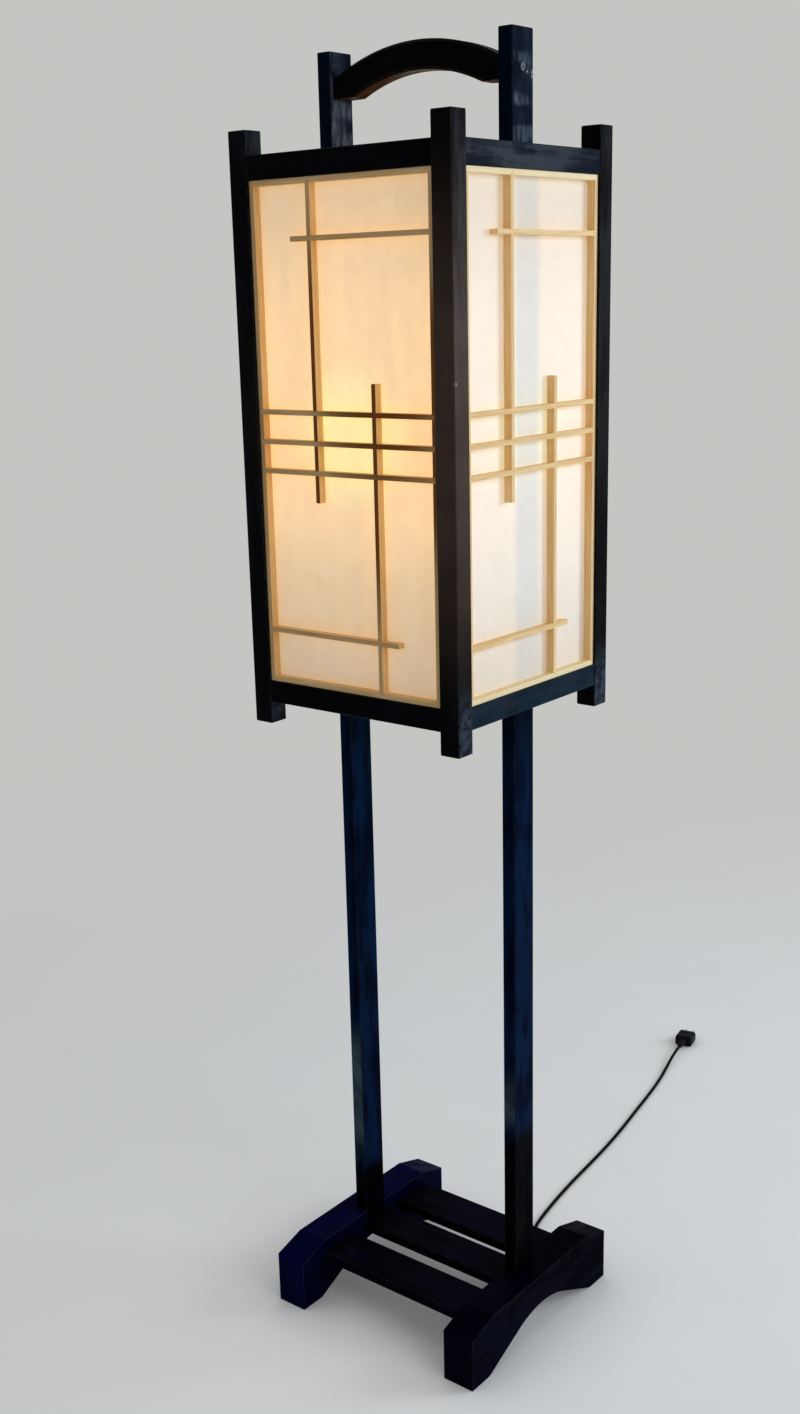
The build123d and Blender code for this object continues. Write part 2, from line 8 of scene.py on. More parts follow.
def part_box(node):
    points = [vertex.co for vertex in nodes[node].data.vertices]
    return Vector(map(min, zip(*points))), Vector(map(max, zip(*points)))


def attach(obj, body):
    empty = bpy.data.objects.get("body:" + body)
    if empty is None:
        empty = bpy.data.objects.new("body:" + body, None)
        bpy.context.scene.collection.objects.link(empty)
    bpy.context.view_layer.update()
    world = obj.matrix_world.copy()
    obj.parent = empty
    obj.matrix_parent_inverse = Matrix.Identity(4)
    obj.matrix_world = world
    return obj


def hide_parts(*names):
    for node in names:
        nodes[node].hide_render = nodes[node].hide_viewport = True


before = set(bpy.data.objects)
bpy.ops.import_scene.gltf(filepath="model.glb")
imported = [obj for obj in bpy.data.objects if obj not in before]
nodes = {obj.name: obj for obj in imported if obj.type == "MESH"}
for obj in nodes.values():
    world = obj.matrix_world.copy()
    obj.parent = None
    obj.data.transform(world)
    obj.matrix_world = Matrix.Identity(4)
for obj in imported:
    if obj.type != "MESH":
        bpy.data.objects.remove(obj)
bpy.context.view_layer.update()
print("frame loaded:", len(nodes), "nodes")

mm = 0.001


def boxOf(name):
    low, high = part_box(name)
    return low, high, (low + high) / 2


def addObject(name, data):
    thing = bpy.data.objects.new(name, data)
    bpy.context.scene.collection.objects.link(thing)
    return thing


# Camera, off the front right corner and a little over the lantern's middle; metres and degrees
cameraValues = {
    "place": (1.1629, -1.5127, 1.3016),
    "pan": 39.22,
    "tilt": 73.87,
    "roll": -1.49,
    "lens": 40.96,
    "shiftX": 0.0080,
    "shiftY": 0.0371,
}


def makeCamera(values):
    data = bpy.data.cameras.new("camera")
    data.lens = values["lens"]
    data.shift_x = values["shiftX"]
    data.shift_y = values["shiftY"]
    camera = addObject("camera", data)
    turn = (
        Matrix.Rotation(math.radians(values["pan"]), 4, "Z")
        @ Matrix.Rotation(math.radians(values["tilt"]), 4, "X")
        @ Matrix.Rotation(math.radians(values["roll"]), 4, "Z")
    )
    camera.matrix_world = Matrix.Translation(values["place"]) @ turn
    bpy.context.scene.camera = camera


makeCamera(cameraValues)
print("camera placed")

# The free lead, from the lowest clip down over the rear slat and along the floor, in millimetres
leadValues = {
    "radius": 2.5,
    "length": 905,
    "order": 3,
    "stepsAlong": 8,
    "stepsRound": 4,
    "route": [
        (123.25, 23.5, 140),
        (123.25, 23.5, 100),
        (104, 52, 78),
        (86, 80, 70.5),
        (66, 108, 77.5),
        (52, 126, 62),
        (44, 138, 32),
        (36, 152, 9),
        (26, 180, 2.7),
        (17, 208, 2.6),
        (7, 262, 2.6),
        (-1.5, 322, 2.6),
        (-8, 385, 2.6),
        (-15, 448, 2.6),
        (-24.5, 510, 2.6),
        (-36, 571, 2.6),
        (-47, 633, 2.6),
        (-59.5, 694, 2.6),
        (-73, 744, 4.2),
        (-81, 780, 9.5),
        (-87.5, 812, 9.5),
    ],
}


def makeLead(values):
    data = bpy.data.curves.new("floor_lead", "CURVE")
    data.dimensions = "3D"
    data.resolution_u = values["stepsAlong"]
    data.bevel_depth = 1  # times each point's radius
    data.bevel_resolution = values["stepsRound"]
    data.use_fill_caps = True
    spline = data.splines.new("NURBS")
    spline.points.add(len(values["route"]) - 1)
    for point, place in zip(spline.points, values["route"]):
        point.co = (*[mm * size for size in place], 1)
        point.radius = values["radius"] * mm
    spline.order_u = values["order"]
    spline.use_endpoint_u = True
    lead = addObject("floor_lead", data)
    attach(lead, "lamp")
    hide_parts("lead_free")
    return lead


lead = makeLead(leadValues)
leadEnd = mm * Vector(leadValues["route"][-1])
leadHeading = leadEnd - mm * Vector(leadValues["route"][-2])
leadHeading.z = 0
leadHeading.normalize()
print("lead laid")


def addPiece(name, mesh, body, slot, *replaced):
    bmesh.ops.recalc_face_normals(mesh, faces=mesh.faces)
    data = bpy.data.meshes.new(name)
    mesh.to_mesh(data)
    mesh.free()
    piece = addObject(name, data)
    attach(piece, body)
    if replaced:
        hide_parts(*replaced)
    return piece


# Moulded plug with a ribbed strain relief, made along +Z and then laid on the floor, in millimetres
plugValues = {
    "width": 29.8,
    "height": 18.8,
    "length": 28,
    "corner": 5,
    "cornerSteps": 6,
    "endCorner": 2.2,
    "endCornerSteps": 4,
    "reliefLength": 22,
    "reliefInside": 1,
    "reliefEnds": (3.4, 7.2),
    "reliefRings": 5,
    "reliefSteps": 32,
    "ringDepth": 0.7,
    "ringFlat": 0.28,
    "gripRibs": 4,
    "gripStart": 0.22,
    "gripShare": 0.5,
    "gripInset": 0.3,
    "gripDepth": 0.5,
    "flatFrom": 0.99,
    "weld": 0.01,
}


def roundEdges(mesh, edges, radius, steps):
    bmesh.ops.bevel(
        mesh, geom=edges, offset=radius * mm, offset_type="OFFSET",
        affect="EDGES", segments=steps, profile=0.5, material=-1,
    )


def rise(edge):
    return abs(edge.verts[0].co.z - edge.verts[1].co.z)


def makeBody(mesh, values):
    start = values["reliefLength"] * mm
    size = Vector((values["width"], values["height"], values["length"])) * mm
    middle = Matrix.Translation((0, 0, start + size.z / 2))
    bmesh.ops.create_cube(mesh, size=1, matrix=middle @ Matrix.Diagonal((*size, 1)))
    sides = [edge for edge in mesh.edges if rise(edge) > size.z / 2]
    roundEdges(mesh, sides, values["corner"], values["cornerSteps"])
    ends = [edge for edge in mesh.edges if rise(edge) < values["weld"] * mm]
    roundEdges(mesh, ends, values["endCorner"], values["endCornerSteps"])
    # finger ribs across both wide faces
    bands = values["gripRibs"] * 2 + 1
    gripStart = start + size.z * values["gripStart"]
    gripStep = size.z * values["gripShare"] / bands
    for index in range(bands + 1):
        bmesh.ops.bisect_plane(
            mesh, geom=mesh.verts[:] + mesh.edges[:] + mesh.faces[:],
            plane_co=(0, 0, gripStart + index * gripStep), plane_no=(0, 0, 1),
        )
    grooves = []
    for face in mesh.faces:
        place = (face.calc_center_median().z - gripStart) / gripStep
        if abs(face.normal.y) > values["flatFrom"] and 0 < place < bands and int(place) % 2 == 1:
            grooves.append(face)
    bmesh.ops.inset_individual(
        mesh, faces=grooves, thickness=values["gripInset"] * mm, depth=-values["gripDepth"] * mm
    )


def makeStrainRelief(mesh, values):
    # a cone of rings that ends inside the body
    near, far = values["reliefEnds"]
    length = values["reliefLength"]
    steps = 2 * values["reliefRings"]
    flat = values["ringFlat"] * length / steps
    profile = [(0, 0)]
    for index in range(steps + 1):
        share = index / steps
        radius = near + (far - near) * share - (values["ringDepth"] if index % 2 else 0)
        place = share * length
        if index > 0:
            profile.append((radius, place - flat))
        profile.append((radius, place + (flat if index < steps else values["reliefInside"])))
    profile.append((0, length + values["reliefInside"]))
    points = [mesh.verts.new((radius * mm, 0, place * mm)) for radius, place in profile]
    edges = [mesh.edges.new(pair) for pair in zip(points, points[1:])]
    bmesh.ops.spin(
        mesh, geom=points + edges, cent=(0, 0, 0), axis=(0, 0, 1),
        angle=2 * math.pi, steps=values["reliefSteps"], use_merge=True,
    )


def makePlug(values, end, heading):
    mesh = bmesh.new()
    makeBody(mesh, values)
    makeStrainRelief(mesh, values)
    bmesh.ops.remove_doubles(mesh, verts=mesh.verts, dist=values["weld"] * mm)
    across = heading.cross(Vector((0, 0, 1)))
    up = heading.cross(across)
    turn = Matrix((across, up, heading)).transposed().to_4x4()
    bmesh.ops.transform(mesh, matrix=Matrix.Translation(end) @ turn, verts=mesh.verts)
    piece = addPiece("moulded_plug", mesh, "lamp", "plug_plastic", "plug_body")
    piece.data.shade_smooth()
    return piece


plug = makePlug(plugValues, leadEnd, leadHeading)
print("plug made")


# Small helpers for the materials
def newMaterial(name):
    material = bpy.data.materials.new(name)
    material.use_nodes = True
    tree = material.node_tree
    return material, tree, tree.nodes["Principled BSDF"]


def setSockets(tree, node, sockets):
    for key, value in sockets.items():
        if isinstance(value, bpy.types.NodeSocket):
            tree.links.new(value, node.inputs[key])
        else:
            node.inputs[key].default_value = value


def addNode(tree, kind, sockets, **settings):
    node = tree.nodes.new(kind)
    for key, value in settings.items():
        setattr(node, key, value)
    setSockets(tree, node, sockets)
    return node


def calculate(tree, operation, first, second=0.5, third=0.5):
    sockets = {0: first, 1: second, 2: third}
    return addNode(tree, "ShaderNodeMath", sockets, operation=operation).outputs[0]


def add(tree, first, second):
    return calculate(tree, "ADD", first, second)


def multiply(tree, first, *others):
    for other in others:
        first = calculate(tree, "MULTIPLY", first, other)
    return first


def average(tree, first, second):
    return multiply(tree, add(tree, first, second), 0.5)


def vectorMath(tree, operation, output, *values):
    sockets = dict(enumerate(values))
    return addNode(tree, "ShaderNodeVectorMath", sockets, operation=operation).outputs[output]


def distance(tree, place, spot):
    return vectorMath(tree, "DISTANCE", "Value", place, spot)


def split(tree, place):
    return addNode(tree, "ShaderNodeSeparateXYZ", {0: place}).outputs


def remap(tree, value, start, end, low=0.0, high=1.0, smooth=False):
    sockets = {"Value": value, "From Min": start, "From Max": end, "To Min": low, "To Max": high}
    kind = "SMOOTHSTEP" if smooth else "LINEAR"
    return addNode(tree, "ShaderNodeMapRange", sockets, interpolation_type=kind).outputs[0]


def noise(tree, place, scale, detail, roughness, distortion=0.0, output="Fac"):
    sockets = {
        "Vector": place,
        "Scale": scale,
        "Detail": detail,
        "Roughness": roughness,
        "Distortion": distortion,
    }
    return addNode(tree, "ShaderNodeTexNoise", sockets).outputs[output]


def patchy(tree, mask, place, patches):
    # breaks a mask up by a noise pattern: its settings, the range read from it and what that range gives
    pattern, span, shares = patches
    return multiply(tree, mask, remap(tree, noise(tree, place, *pattern), *span, *shares))


def blendColours(tree, share, first, second):
    # a colour mix uses inputs 6 and 7 and output 2 of its node
    node = addNode(tree, "ShaderNodeMix", {}, data_type="RGBA")
    sockets = {0: share}
    for index, colour in ((6, first), (7, second)):
        sockets[index] = colour if isinstance(colour, bpy.types.NodeSocket) else (*colour, 1)
    setSockets(tree, node, sockets)
    return node.outputs[2]


def objectPlace(tree):
    return addNode(tree, "ShaderNodeTexCoord", {}).outputs["Object"]


def surfaceNormal(tree):
    return addNode(tree, "ShaderNodeTexCoord", {}).outputs["Normal"]


def scaledPlace(tree, place, scale):
    return addNode(tree, "ShaderNodeMapping", {"Vector": place, "Scale": scale}).outputs[0]


def stretchedPlace(tree, place, grain, stretch):
    return scaledPlace(tree, place, [1 / stretch if axis == grain else 1 for axis in "xyz"])


# How far a face looks along an axis, 0 to 1, where it starts and ends to count as square to it, or as flat
faceValues = {
    "square": (0.7, 0.85),
    "flat": (0.74, 0.84),
}


def facing(tree):
    # how far a face looks along X, Y and Z, either way
    return split(tree, vectorMath(tree, "ABSOLUTE", 0, surfaceNormal(tree)))


def squareMask(tree, axis, low=0.0, high=1.0, values=faceValues):
    # high on faces square to the axis, low on the others
    return remap(tree, facing(tree)[axis], *values["square"], low, high)


def arrisMask(tree, values=faceValues):
    # 1 on the 45 degree faces of the chamfers, 0 on flat and gently curved faces
    parts = facing(tree)
    most = calculate(tree, "MAXIMUM", calculate(tree, "MAXIMUM", parts["X"], parts["Y"]), parts["Z"])
    return remap(tree, most, *values["flat"], 1.0, 0.0)


def setBump(tree, shader, height, strength, depth):
    # depth in millimetres
    sockets = {"Height": height, "Strength": strength, "Distance": depth * mm}
    setSockets(tree, shader, {"Normal": addNode(tree, "ShaderNodeBump", sockets).outputs[0]})


# Stained timber, near black, satin, rubbed pale along its arrises. The blue in these tones is painted
# daylight reflection, the side rails are a lighter daylit copy of the front rails, and each part's sheen
# colour is painted sheen
stainTones = {
    "post": {
        "dark": (0.0004, 0.0004, 0.0006), "light": (0.0016, 0.0016, 0.0024),
        "paintedSheen": (0.004, 0.005, 0.008), "paintedSheenReach": (0.5, 0.62), "wornShare": 0.55, "specular": 0.022,
    },
    "frontRail": {
        "dark": (0.0003, 0.0003, 0.0005), "light": (0.001, 0.001, 0.0016),
        "paintedSheen": (0.003, 0.003, 0.006), "paintedSheenReach": (0.5, 0.62), "wornShare": 0.4, "specular": 0.016,
    },
    "sideRail": {
        "dark": (0.0018, 0.0045, 0.0095), "light": (0.004, 0.009, 0.018),
        "paintedSheen": (0.018, 0.026, 0.039), "paintedSheenReach": (0.46, 0.6), "wornShare": 0.5, "specular": 0.022,
    },
    "handle": {
        "dark": (0.0003, 0.0003, 0.0004), "light": (0.0008, 0.0008, 0.001),
        "paintedSheen": (0.0015, 0.0015, 0.002), "paintedSheenReach": (0.5, 0.62), "wornShare": 0.08, "specular": 0.016,
    },
    "upright": {
        "dark": (0.0002, 0.002, 0.01), "light": (0.0003, 0.0035, 0.017),
        "paintedSheen": (0.0004, 0.011, 0.044), "paintedSheenReach": (0.42, 0.57), "wornShare": 0.4, "specular": 0.012,
    },
    "foot": {
        "dark": (0.0002, 0.0002, 0.0012), "light": (0.0004, 0.0005, 0.004),
        "paintedSheen": (0.0005, 0.0007, 0.009), "paintedSheenReach": (0.45, 0.6), "wornShare": 0.3, "specular": 0.009,
    },
    "slat": {
        "dark": (0.0003, 0.0003, 0.0012), "light": (0.0007, 0.0008, 0.005),
        "paintedSheen": (0.001, 0.0016, 0.016), "paintedSheenReach": (0.5, 0.62), "wornShare": 0.3, "specular": 0.012,
    },
}
# A noise pattern is its scale, detail, roughness and distortion; a From is the range read from it
blackWoodValues = {
    "fibre": (420, 5, 0.6, 0.4),
    "fibreFrom": (0.34, 0.7),
    "stretch": 22,
    "pores": (1500, 2, 0.5),
    "poreDepth": 0.35,
    "streak": (75, 3, 0.6, 0.3),
    "streakStretch": 7,
    "cloud": (9, 4, 0.6),
    "roughness": (0.22, 0.56),
    "sheenFrom": (0.4, 0.6),
    "sheenTint": (0.64, 0.79, 1.0),
    "poreDullness": 0.08,
    "wornDullness": 0.15,
    "bump": (0.35, 0.25),
    "worn": (0.06, 0.052, 0.046),
    "rub": (130, 5, 0.7),
    "rubFrom": (0.42, 0.66),
    "rubLeast": 0.08,
    "nick": (0.42, 0.4, 0.38),
    "nickShare": 0.8,
    "nicks": (95, 3, 0.8),
    "nicksFrom": (0.76, 0.8),
    "chips": [(134.5, 8, 1523, 2.4), (134.5, 18, 1524, 3), (134.5, 17, 1519, 2.2), (152.5, -149, 1210, 2.5)],
    "chipEdge": (520, 3, 0.75),
    "chipEdgeFrom": (0.38, 0.6),
    "chipSize": (0.6, 3.2),
    "chipRim": 0.85,
}
# Painted light and shade that only one kind of timber shows; places and levels in metres
paintedLightValues = {
    "paintedWarmSheen": (0.078, 0.053, 0.04),
    "warmSheenPlace": (0.14, -0.14, 1.16),
    "warmSheenReach": (0.06, 0.32),
    "warmSheenPatches": ((28, 4, 0.6), (0.3, 0.7), (0.8, 1.1)),
    "paintedCoolSheen": (0.044, 0.06, 0.09),
    "coolSheenTo": (0.84, 0.9),
    "coolSheenPatches": ((90, 4, 0.65), (0.4, 0.62), (0.2, 1.0)),
    "lowRailCoolSheen": (0.009, 0.029, 0.05),
    "lowRailCoolSheenShare": 0.7,
    "lowRailCoolSheenPatches": ((26, 3, 0.5), (0.35, 0.6), (0.4, 1.0)),
    "topShade": (0.0004, 0.0032, 0.0115),
    "topShadeFrom": (0.74, 0.84),
    "topShadeShare": 0.85,
    "paintedGlint": (0.075, 0.098, 0.14),
    "paintedGlintFrom": (1.40, 1.47),
    "glintBands": (40, 1, 0.4),
    "glintBandsFrom": (0.49, 0.66),
    "glintBandScale": (0.35, 0.35, 1),
    "glintPatches": ((190, 4, 0.6), (0.36, 0.66), (0.05, 1.0)),
    "glintStretch": 5,
    "paleReflection": (0.06, 0.1, 0.125),
    "paleReflectionFrom": (0.217, 0.252),
    "paleReflectionTo": (0.3, 0.38),
    "paleReflectionPatches": ((30, 3, 0.5), (0.35, 0.6), (0.2, 1.0)),
    "footShade": (0.197, 0.229),
    "shadeLean": -0.52,
    "footCoolSheen": (0.0006, 0.0014, 0.038),
    "footCoolSheenFrom": (0.05, -0.12),
    "footCoolSheenOutside": 0.4,
    "footCoolSheenPatches": ((22, 4, 0.6), (0.35, 0.6), (0.5, 1.0)),
    "underGlow": (0.045, 0.022, 0.009),
    "underGlowFrom": (-0.8, -0.88),
    "underGlowPatches": ((60, 4, 0.6), (0.35, 0.6), (0.3, 1.0)),
}


def chipMask(tree, place, values):
    # 1 inside each chipped spot, with a ragged edge
    rough = noise(tree, place, *values["chipEdge"])
    mask = 0.0
    for x, y, z, radius in values["chips"]:
        far = distance(tree, place, Vector((x, y, z)) * mm)
        ragged = multiply(tree, far, remap(tree, rough, *values["chipEdgeFrom"], *values["chipSize"]))
        spotMask = remap(tree, ragged, values["chipRim"] * radius * mm, radius * mm, 1.0, 0.0)
        mask = calculate(tree, "MAXIMUM", mask, spotMask)
    return mask


def paintPostLight(tree, place, colour, values):
    # painted warm light and sheen round the near post at the bulb's height, and painted cool sheen on the
    # faces that look along X towards the lower ends
    # painted warm light and sheen
    far = distance(tree, place, values["warmSheenPlace"])
    brown = remap(tree, far, *values["warmSheenReach"], 1.0, 0.0, True)
    brown = patchy(tree, brown, place, values["warmSheenPatches"])
    colour = blendColours(tree, brown, colour, values["paintedWarmSheen"])
    # painted cool sheen at the lower ends
    cool = remap(tree, split(tree, place)["Z"], *values["coolSheenTo"], 1.0, 0.0, True)
    cool = multiply(tree, cool, squareMask(tree, "X"))
    cool = patchy(tree, cool, place, values["coolSheenPatches"])
    return blendColours(tree, cool, colour, values["paintedCoolSheen"])


def paintSideRailLight(tree, place, colour, values):
    # painted cool sheen on the lower rails
    low = remap(tree, split(tree, place)["Z"], *values["coolSheenTo"], values["lowRailCoolSheenShare"], 0.0)
    low = patchy(tree, low, place, values["lowRailCoolSheenPatches"])
    return blendColours(tree, low, colour, values["lowRailCoolSheen"])


def paintUprightLight(tree, place, colour, values):
    # painted shade: darker navy from just below the lantern upward; painted glints in streaks on the X faces
    # above the lantern; painted pale reflection on the front and back faces low down; painted shade next to
    # the feet
    spot = split(tree, place)
    across, level = spot["X"], spot["Z"]
    # painted shade
    top = remap(tree, level, *values["topShadeFrom"], 0.0, values["topShadeShare"], True)
    colour = blendColours(tree, top, colour, values["topShade"])
    # painted glints: pale blue-grey streaks near the top
    bands = noise(tree, scaledPlace(tree, place, values["glintBandScale"]), *values["glintBands"])
    glint = remap(tree, bands, *values["glintBandsFrom"], 0.0, 1.0, True)
    streaks = stretchedPlace(tree, place, "z", values["glintStretch"])
    glint = patchy(tree, glint, streaks, values["glintPatches"])
    high = remap(tree, level, *values["paintedGlintFrom"], 0.0, 1.0, True)
    glint = multiply(tree, glint, high, squareMask(tree, "X"))
    colour = blendColours(tree, glint, colour, values["paintedGlint"])
    # painted pale reflection on the lower front and back faces and painted shade next to the feet, both
    # higher on the right-hand upright
    leaning = calculate(tree, "MULTIPLY_ADD", across, values["shadeLean"], level)
    paleReflection = remap(tree, leaning, *values["paleReflectionFrom"], 0.0, 1.0, True)
    low = remap(tree, level, *values["paleReflectionTo"], 1.0, 0.0, True)
    paleReflection = multiply(tree, paleReflection, low, squareMask(tree, "Y"))
    paleReflection = patchy(tree, paleReflection, place, values["paleReflectionPatches"])
    colour = blendColours(tree, paleReflection, colour, values["paleReflection"])
    # painted shade: black next to the feet
    shade = remap(tree, leaning, *values["footShade"], 1.0, 0.0, True)
    return blendColours(tree, shade, colour, stainTones["foot"]["dark"])


def paintFootLight(tree, place, colour, values):
    # painted cool sheen on the left foot, weaker on its faces that look along X
    blue = remap(tree, split(tree, place)["X"], *values["footCoolSheenFrom"], 0.0, 1.0, True)
    blue = multiply(tree, blue, squareMask(tree, "X", 1.0, values["footCoolSheenOutside"]))
    blue = patchy(tree, blue, place, values["footCoolSheenPatches"])
    return blendColours(tree, blue, colour, values["footCoolSheen"])


def paintHandleLight(tree, place, colour, values):
    # painted warm light from the lantern's open top on the underside
    under = remap(tree, split(tree, surfaceNormal(tree))["Z"], *values["underGlowFrom"])
    under = patchy(tree, under, place, values["underGlowPatches"])
    return blendColours(tree, under, colour, values["underGlow"])


paintLightOf = {
    "post": paintPostLight, "sideRail": paintSideRailLight, "upright": paintUprightLight, "foot": paintFootLight, "handle": paintHandleLight,
}


def blackWood(part, grain, values=blackWoodValues):
    material, tree, shader = newMaterial("black wood " + part)
    tones = stainTones[part]
    place = objectPlace(tree)
    along = stretchedPlace(tree, place, grain, values["stretch"])
    fibre = noise(tree, along, *values["fibre"])
    pores = noise(tree, along, *values["pores"])
    streakPlace = stretchedPlace(tree, place, grain, values["streakStretch"])
    streak = noise(tree, streakPlace, *values["streak"])
    sheen = average(tree, streak, noise(tree, place, *values["cloud"]))
    colour = blendColours(tree, remap(tree, fibre, *values["fibreFrom"]), tones["dark"], tones["light"])
    # painted sheen: paler, bluer patches where the sheen noise is high
    paintedSheen = remap(tree, sheen, *tones["paintedSheenReach"], 0.0, 1.0, True)
    colour = blendColours(tree, paintedSheen, colour, tones["paintedSheen"])
    # painted light and shade that only this part shows
    if part in paintLightOf:
        colour = paintLightOf[part](tree, place, colour, paintedLightValues)
    rub = noise(tree, place, *values["rub"])
    rubbed = remap(tree, rub, *values["rubFrom"], values["rubLeast"], tones["wornShare"])
    worn = multiply(tree, arrisMask(tree), rubbed)
    colour = blendColours(tree, worn, colour, values["worn"])
    nicks = remap(tree, noise(tree, place, *values["nicks"]), *values["nicksFrom"])
    nicks = calculate(tree, "MAXIMUM", nicks, chipMask(tree, place, values))
    colour = blendColours(tree, multiply(tree, nicks, values["nickShare"]), colour, values["nick"])
    smooth, dull = values["roughness"]
    roughness = remap(tree, sheen, *values["sheenFrom"], dull, smooth, True)
    roughness = add(tree, roughness, multiply(tree, pores, values["poreDullness"]))
    roughness = add(tree, roughness, multiply(tree, worn, values["wornDullness"]))
    setSockets(tree, shader, {
        "Base Color": colour,
        "Roughness": roughness,
        "Specular IOR Level": tones["specular"],
        "Specular Tint": (*values["sheenTint"], 1),
    })
    setBump(tree, shader, add(tree, fibre, multiply(tree, pores, values["poreDepth"])), *values["bump"])
    return material


# Pale straight-grained cypress strips
latticeWoodValues = {
    "daylitTones": {"pale": (1.0, 0.74, 0.4), "late": (0.8, 0.47, 0.16)},
    "sunlitRailTones": {"pale": (1.0, 0.86, 0.54), "late": (1.0, 0.74, 0.4)},
    "plain": {"pale": (1.0, 0.71, 0.37), "late": (0.74, 0.43, 0.14)},
    "outwardShade": (0.22, 0.062, 0.004),
    "outwardShadePlace": (0.05, 0.0, 1.17),
    "outwardShadeReach": {"uprights": (0.2, 0.3), "bars": (0.15, 0.185), "stiles": (0.185, 0.25)},
    "outwardShadeShares": (1.0, 0.22),
    "fibre": (700, 4, 0.6, 0.6),
    "fibreTones": ((0.38, 0.68), (0.0, 0.7)),
    "fibreRoughness": ((0.3, 0.7), (0.5, 0.68)),
    "stretch": 40,
    "drift": (7, 3, 0.5),
    "driftTones": ((0.35, 0.65), (0.0, 0.3)),
    "specular": 0.2,
    "bump": (0.3, 0.15),
}


def latticeWood(side, part, values=latticeWoodValues):
    material, tree, shader = newMaterial("lattice wood " + side + " " + part)
    # painted daylight: the right-hand screen takes lighter tones, its rails the lightest
    daylitTones = "sunlitRailTones" if part == "rails" else "daylitTones"
    tones = values[daylitTones if side == "right" else "plain"]
    width, outward = ("x", "Y") if side in ("front", "rear") else ("y", "X")
    grain = "z" if part in ("stiles", "uprights") else width
    place = objectPlace(tree)
    fibre = noise(tree, stretchedPlace(tree, place, grain, values["stretch"]), *values["fibre"])
    drift = noise(tree, place, *values["drift"])
    fibreSpan, fibreShares = values["fibreTones"]
    driftSpan, driftShares = values["driftTones"]
    share = add(
        tree, remap(tree, fibre, *fibreSpan, *fibreShares), remap(tree, drift, *driftSpan, *driftShares)
    )
    colour = blendColours(tree, share, tones["pale"], tones["late"])
    if side != "right" and part in values["outwardShadeReach"]:
        # painted shade on the other screens' outward faces, deepest round the bulb
        far = distance(tree, place, values["outwardShadePlace"])
        outwardShadeMask = remap(tree, far, *values["outwardShadeReach"][part], *values["outwardShadeShares"], True)
        outwardShadeMask = multiply(tree, outwardShadeMask, squareMask(tree, outward))
        colour = blendColours(tree, outwardShadeMask, colour, values["outwardShade"])
    roughSpan, roughShares = values["fibreRoughness"]
    setSockets(tree, shader, {
        "Base Color": colour,
        "Roughness": remap(tree, fibre, *roughSpan, *roughShares),
        "Specular IOR Level": values["specular"],
    })
    setBump(tree, shader, fibre, *values["bump"])
    return material


# Washi glued behind the lattice
washiValues = {
    "paper": (0.87, 0.87, 0.85),
    "fibre": (0.77, 0.75, 0.7),
    "pulp": (45, 8, 0.65, 1.2),
    "pulpFrom": (0.35, 0.7),
    "pulpShare": 0.4,
    "strandScale": 75,
    "strandWidth": 0.035,
    "strandShare": 0.25,
    "strandWarp": (60, 3, 0.5),
    "folds": (55, 3, 0.5),
    "foldStretch": 12,
    "endShade": (0.72, 0.64, 0.54),
    "endShadeFrom": (0.13, 0.27),
    "endShadeShare": 0.5,
    "roughness": 0.8,
    "specular": 0.25,
    "bump": (0.25, 0.3),
}
# What comes through it from the bulb inside, in metres
glowValues = {
    "near": (1.0, 0.82, 0.27),
    "far": (1.0, 0.58, 0.19),
    "core": (0.138, 0.168),
    "reach": (0.16, 0.42),
    "levels": (0.74, 0.29),
    "rise": 0.012,
    "mottleFrom": (0.0, 0.65),
    "mottleShares": (1.05, 0.86),
    "foldsFrom": (0.3, 0.7),
    "foldShares": (0.94, 1.05),
    "lowTo": (0.97, 1.085),
    "lowShare": 0.78,
    "daylitShare": 0.45,
    "bandShare": 0.6,
    "bandSoft": 0.008,
}


def paperGlow(tree, side, place, mottle, folds, values=glowValues):
    _, _, bulb = boxOf("bulb_glass")
    far = distance(tree, place, Vector((bulb.x, bulb.y, bulb.z + values["rise"])))
    spot = split(tree, place)
    level = remap(tree, far, *values["reach"], *values["levels"], True)
    level = multiply(tree, level, remap(tree, mottle, *values["mottleFrom"], *values["mottleShares"]))
    level = multiply(tree, level, remap(tree, folds, *values["foldsFrom"], *values["foldShares"]))
    # the lampholder shades what lies below it
    level = multiply(tree, level, remap(tree, spot["Z"], *values["lowTo"], values["lowShare"], 1.0, True))
    if side == "right":
        # daylight outshines the bulb here
        level = multiply(tree, level, values["daylitShare"])
    if side in ("left", "right"):
        # painted shadow of the upright, which stands between the bulb and this sheet
        low, high, _ = boxOf("upright_right")
        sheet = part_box("screen_right_paper")[0].x
        half = high.y * sheet / low.x
        rim = (half - values["bandSoft"], half + values["bandSoft"])
        beside = calculate(tree, "ABSOLUTE", spot["Y"])
        level = multiply(tree, level, remap(tree, beside, *rim, 1 - values["bandShare"], 1.0, True))
    share = remap(tree, far, *values["core"], 0.0, 1.0, True)
    return blendColours(tree, share, values["near"], values["far"]), level


